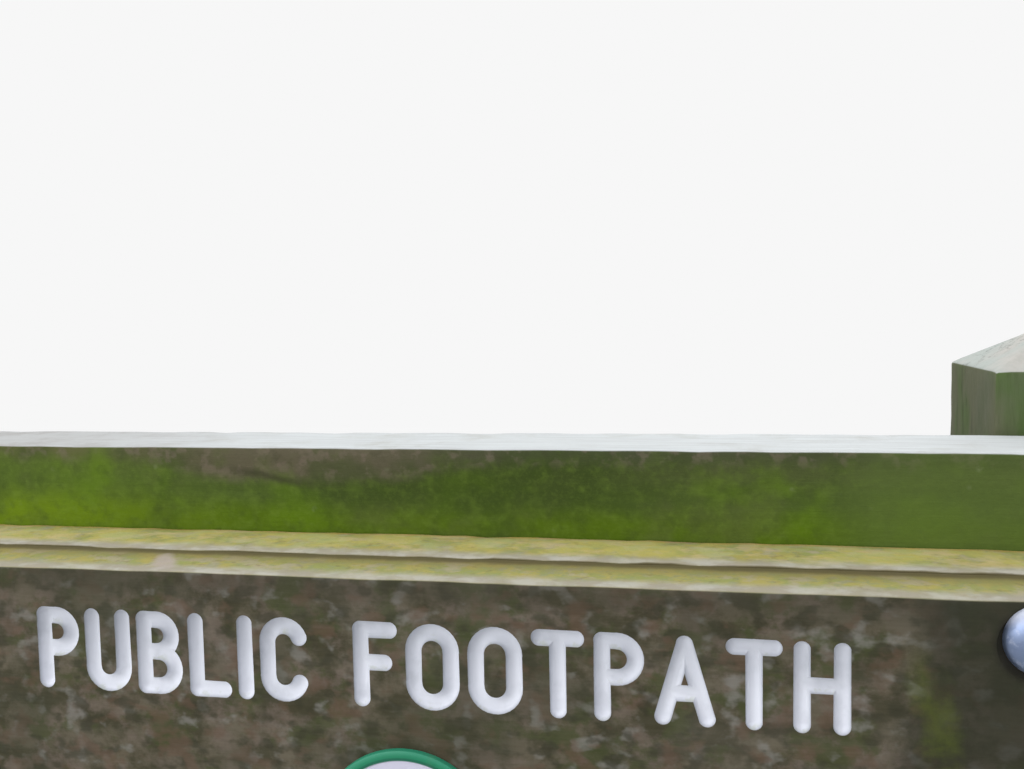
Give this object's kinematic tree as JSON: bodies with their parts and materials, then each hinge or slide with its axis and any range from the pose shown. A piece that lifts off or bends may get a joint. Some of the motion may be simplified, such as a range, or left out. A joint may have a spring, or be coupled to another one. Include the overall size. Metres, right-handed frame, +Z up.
{
  "type": "timber footpath gate with a name board",
  "caption": "Framed timber footpath gate with a routed name board and waymark disc, hung by hooks and bands in front of two square posts with weathered tops.",
  "frame": {"origin": "middle of the hanging post's foot, at ground level", "axes": "+X along the gate from the hanging post to the clapping post, +Y away from the side the name board faces, +Z up"},
  "size_m": [1.24, 0.347, 1.271],
  "materials": {
    "post_timber": "weathered, algae on the faces, bleached top",
    "leaf_timber": "weathered, green with algae and moss",
    "board_timber": "weathered, dark, with white painted grooves",
    "galvanised_steel": "dull hot-dip zinc",
    "disc_plastic": "matt, faded, with a green rim"
  },
  "bodies": {
    "posts": {"hanging_post": "post_timber", "clapping_post": "post_timber", "top_hook": "galvanised_steel", "bottom_hook": "galvanised_steel", "top_hook_nut": "galvanised_steel", "bottom_hook_nut": "galvanised_steel"},
    "leaf": {"top_rail": "leaf_timber", "hanging_stile": "leaf_timber", "shutting_stile": "leaf_timber", "middle_rail": "leaf_timber", "bottom_rail": "leaf_timber", "lower_bar_1": "leaf_timber", "lower_bar_2": "leaf_timber", "lower_bar_3": "leaf_timber", "diagonal_brace": "leaf_timber", "backing_board": "board_timber", "sign_board": "board_timber", "top_band": "galvanised_steel", "bottom_band": "galvanised_steel", "top_band_bolts": "galvanised_steel", "bottom_band_bolts": "galvanised_steel", "top_band_nuts": "galvanised_steel", "bottom_band_nuts": "galvanised_steel", "sign_bolt_lower_left": "galvanised_steel", "sign_bolt_lower_right": "galvanised_steel", "sign_bolt_upper_left": "galvanised_steel", "sign_bolt_upper_right": "galvanised_steel", "sign_nuts": "galvanised_steel", "board_screws": "galvanised_steel", "waymark_disc": "disc_plastic"}
  },
  "joints": [
    {"name": "leaf_swing", "type": "hinge", "parent": "posts", "child": "leaf", "pos_m": [0, -0.105, 0.65], "axis": [0, 0, -1], "range_deg": [0, 110]}
  ]
}
